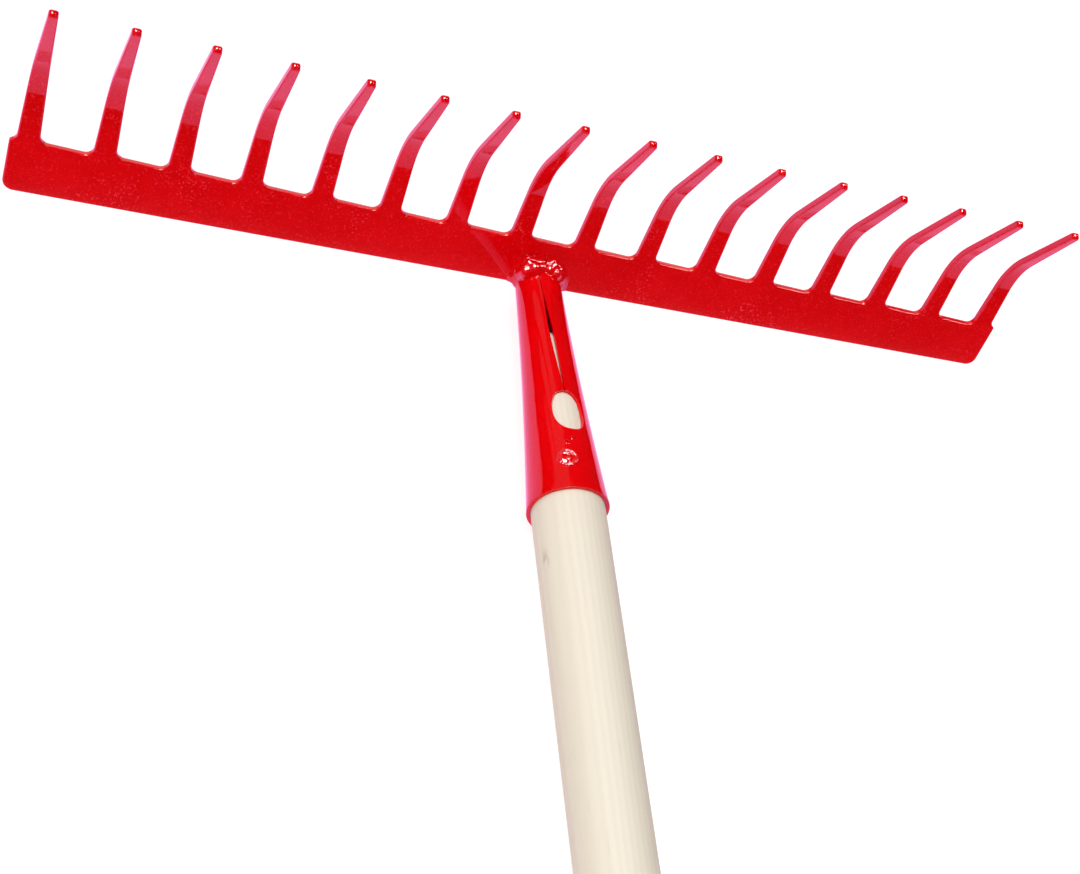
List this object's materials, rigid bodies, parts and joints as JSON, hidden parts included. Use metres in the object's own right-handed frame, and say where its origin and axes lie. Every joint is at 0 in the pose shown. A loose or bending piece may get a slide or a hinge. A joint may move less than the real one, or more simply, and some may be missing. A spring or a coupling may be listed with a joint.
{
  "type": "garden rake",
  "caption": "Garden rake: a pressed-steel bar with curved teeth, welded to a tapered split socket on a long round wooden handle.",
  "frame": {"origin": "on the handle's centre line, in the plane of the socket's mouth, where the wood goes into the steel", "axes": "+Y along the handle towards the toothed head, +Z the side that the teeth point to (the rake lies on its back), +X along the bar to the right of a person who holds the handle and looks along +Y"},
  "size_m": [0.4026, 1.5437, 0.0986],
  "materials": {
    "red_paint_plate": "gloss",
    "red_paint_socket": "gloss",
    "red_paint_weld": "gloss",
    "pale_wood": "smooth sanded, unvarnished",
    "zinc_screw": "zinc plated"
  },
  "bodies": {
    "root": {"toothed_plate": "red_paint_plate", "socket": "red_paint_socket", "weld_left": "red_paint_weld", "weld_right": "red_paint_weld", "weld_under": "red_paint_weld", "tack_weld": "red_paint_weld", "handle": "pale_wood", "handle_screw": "zinc_screw"}
  },
  "joints": []
}
